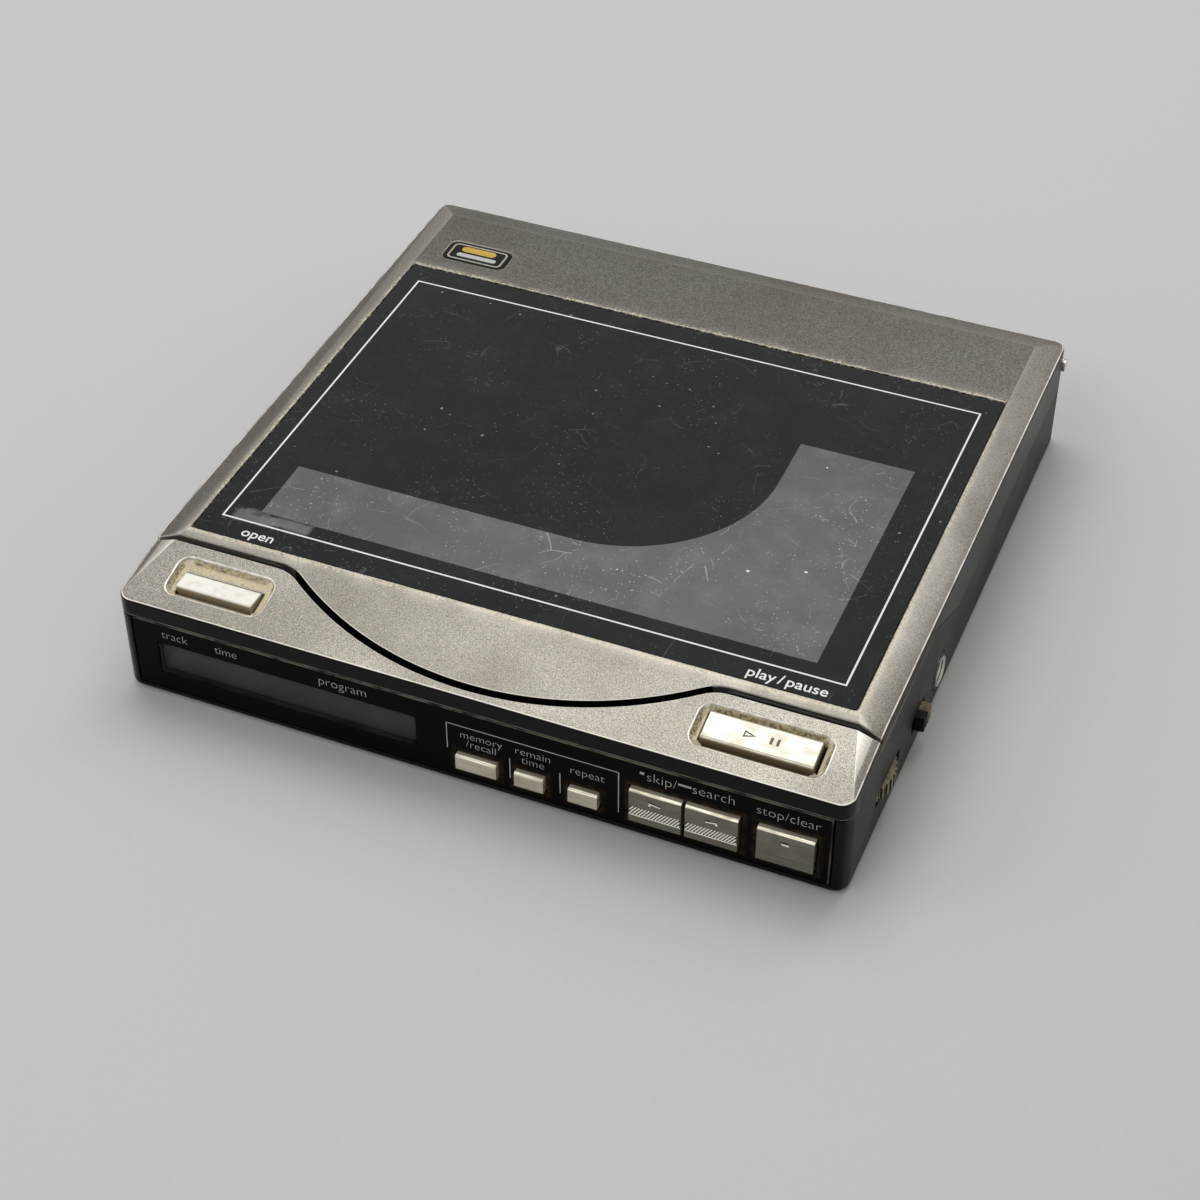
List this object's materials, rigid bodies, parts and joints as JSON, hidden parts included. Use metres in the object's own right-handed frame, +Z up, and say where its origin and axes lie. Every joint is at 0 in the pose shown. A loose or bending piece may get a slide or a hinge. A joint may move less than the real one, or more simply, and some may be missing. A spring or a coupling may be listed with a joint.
{
  "type": "portable disc player",
  "caption": "Slim square portable disc player: windowed lid hinged at the back, sloping front cover with two top keys, front display and keys, side volume wheel, switch and sockets.",
  "frame": {"origin": "on the table, under the middle of the case", "axes": "+X to the right of someone facing the keys, +Y from the front panel to the hinge, +Z up through the lid"},
  "size_m": [0.1282, 0.1269, 0.0231],
  "materials": {
    "case_plastic": "dark grey, fine texture",
    "deck_plastic": "grey satin",
    "cover_paint": "warm grey metallic paint on moulded plastic",
    "gloss_panel": "gloss black",
    "smoked_acrylic": "clear smoked acrylic sheet",
    "crystal_glass": "grey-green display",
    "circuit_board": "green laminate",
    "plated_steel": "zinc plated",
    "diecast": "die cast",
    "acetal": "white acetal",
    "turned_brass": "turned",
    "lens_plastic": "coated clear lens",
    "key_paint": "champagne silver paint",
    "satin_black": "black satin",
    "socket_plastic": "black",
    "bright_chrome": "polished",
    "rubber": "matt"
  },
  "bodies": {
    "base": {"bottom_case": "case_plastic", "disc_deck": "deck_plastic", "front_cover": "cover_paint", "front_panel": "gloss_panel", "display_window": "smoked_acrylic", "display_crystal": "crystal_glass", "display_board": "circuit_board", "main_board": "circuit_board", "mechanism_chassis": "plated_steel", "damper_1": "rubber", "damper_2": "rubber", "damper_3": "rubber", "spindle_motor": "plated_steel", "feed_motor": "plated_steel", "guide_rod_left": "plated_steel", "guide_rod_right": "plated_steel", "hinge_pin_left": "plated_steel", "hinge_pin_right": "plated_steel", "volume_control": "plated_steel", "mode_switch": "plated_steel", "headphone_jack": "socket_plastic", "headphone_ring": "bright_chrome", "line_out_jack": "socket_plastic", "power_jack": "socket_plastic", "foot_1": "rubber", "foot_2": "rubber", "foot_3": "rubber", "foot_4": "rubber", "case_screw_1": "plated_steel", "case_screw_2": "plated_steel", "case_screw_3": "plated_steel", "case_screw_4": "plated_steel"},
    "lid": {"lid_shell": "cover_paint", "lid_window": "smoked_acrylic", "lid_badge": "gloss_panel", "lid_inner_plate": "deck_plastic"},
    "clamp": {"disc_clamp": "acetal"},
    "turntable": {"turntable": "acetal"},
    "pickup": {"pickup_sled": "diecast"},
    "lens": {"objective_lens": "lens_plastic"},
    "feed_gear": {"feed_gear": "acetal"},
    "motor_pinion": {"motor_pinion": "turned_brass"},
    "open_key": {"open_key": "key_paint"},
    "play_key": {"play_key": "key_paint"},
    "latch": {"latch_slider": "acetal"},
    "memory_key": {"memory_key": "key_paint"},
    "remain_key": {"remain_key": "key_paint"},
    "repeat_key": {"repeat_key": "key_paint"},
    "skip_back_key": {"skip_back_key": "key_paint"},
    "skip_forward_key": {"skip_forward_key": "key_paint"},
    "stop_key": {"stop_key": "key_paint"},
    "volume_wheel": {"volume_wheel": "satin_black"},
    "mode_knob": {"mode_switch_knob": "satin_black"}
  },
  "joints": [
    {"name": "lid_hinge", "type": "hinge", "parent": "base", "child": "lid", "pos_m": [0, 0.0613, 0.01775], "axis": [-1, 0, 0], "range_deg": [0, 78]},
    {"name": "clamp_spin", "type": "hinge", "parent": "lid", "child": "clamp", "pos_m": [0, 0.0006, 0.0185], "axis": [0, 0, 1], "continuous": true},
    {"name": "turntable_spin", "type": "hinge", "parent": "base", "child": "turntable", "pos_m": [0, 0.0006, 0.0144], "axis": [0, 0, 1], "continuous": true},
    {"name": "pickup_travel", "type": "slide", "parent": "base", "child": "pickup", "axis": [-0.7071, 0.7071, 0], "range_m": [0, 0.033]},
    {"name": "lens_focus", "type": "slide", "parent": "pickup", "child": "lens", "axis": [0, 0, 1], "range_m": [-0.0003, 0.0003], "stiffness_N_per_m": 20},
    {"name": "feed_gear_spin", "type": "hinge", "parent": "base", "child": "feed_gear", "pos_m": [-0.0049, 0.03742, 0.0083], "axis": [0, 0, 1], "range_deg": [-542, 2]},
    {"name": "motor_pinion_spin", "type": "hinge", "parent": "base", "child": "motor_pinion", "pos_m": [0.00242, 0.03742, 0.0071], "axis": [0, 0, 1], "range_deg": [-4, 1408]},
    {"name": "open_press", "type": "slide", "parent": "base", "child": "open_key", "axis": [0, 0.2154, -0.9765], "range_m": [0, 0.0008], "stiffness_N_per_m": 250},
    {"name": "latch_slide", "type": "slide", "parent": "base", "child": "latch", "axis": [0, -1, 0], "range_m": [0, 0.00101]},
    {"name": "play_press", "type": "slide", "parent": "base", "child": "play_key", "axis": [0, 0.2154, -0.9765], "range_m": [0, 0.0008], "stiffness_N_per_m": 250},
    {"name": "memory_press", "type": "slide", "parent": "base", "child": "memory_key", "axis": [0, 1, 0], "range_m": [0, 0.0006], "stiffness_N_per_m": 250},
    {"name": "remain_press", "type": "slide", "parent": "base", "child": "remain_key", "axis": [0, 1, 0], "range_m": [0, 0.0006], "stiffness_N_per_m": 250},
    {"name": "repeat_press", "type": "slide", "parent": "base", "child": "repeat_key", "axis": [0, 1, 0], "range_m": [0, 0.0006], "stiffness_N_per_m": 250},
    {"name": "skip_back_press", "type": "slide", "parent": "base", "child": "skip_back_key", "axis": [0, 1, 0], "range_m": [0, 0.0006], "stiffness_N_per_m": 250},
    {"name": "skip_forward_press", "type": "slide", "parent": "base", "child": "skip_forward_key", "axis": [0, 1, 0], "range_m": [0, 0.0006], "stiffness_N_per_m": 250},
    {"name": "stop_press", "type": "slide", "parent": "base", "child": "stop_key", "axis": [0, 1, 0], "range_m": [0, 0.0006], "stiffness_N_per_m": 250},
    {"name": "volume_turn", "type": "hinge", "parent": "base", "child": "volume_wheel", "pos_m": [0.0561, -0.0425, 0.007], "axis": [0, 0, 1], "range_deg": [-135, 135]},
    {"name": "mode_slide", "type": "slide", "parent": "base", "child": "mode_knob", "axis": [0, 1, 0], "range_m": [-0.00125, 0.00125]}
  ],
  "couplings": [
    {"joint": "feed_gear_spin", "follows": "pickup_travel", "rad_per_m": -285.71},
    {"joint": "motor_pinion_spin", "follows": "pickup_travel", "rad_per_m": 742.86},
    {"joint": "latch_slide", "follows": "open_press", "ratio": 1.25}
  ]
}
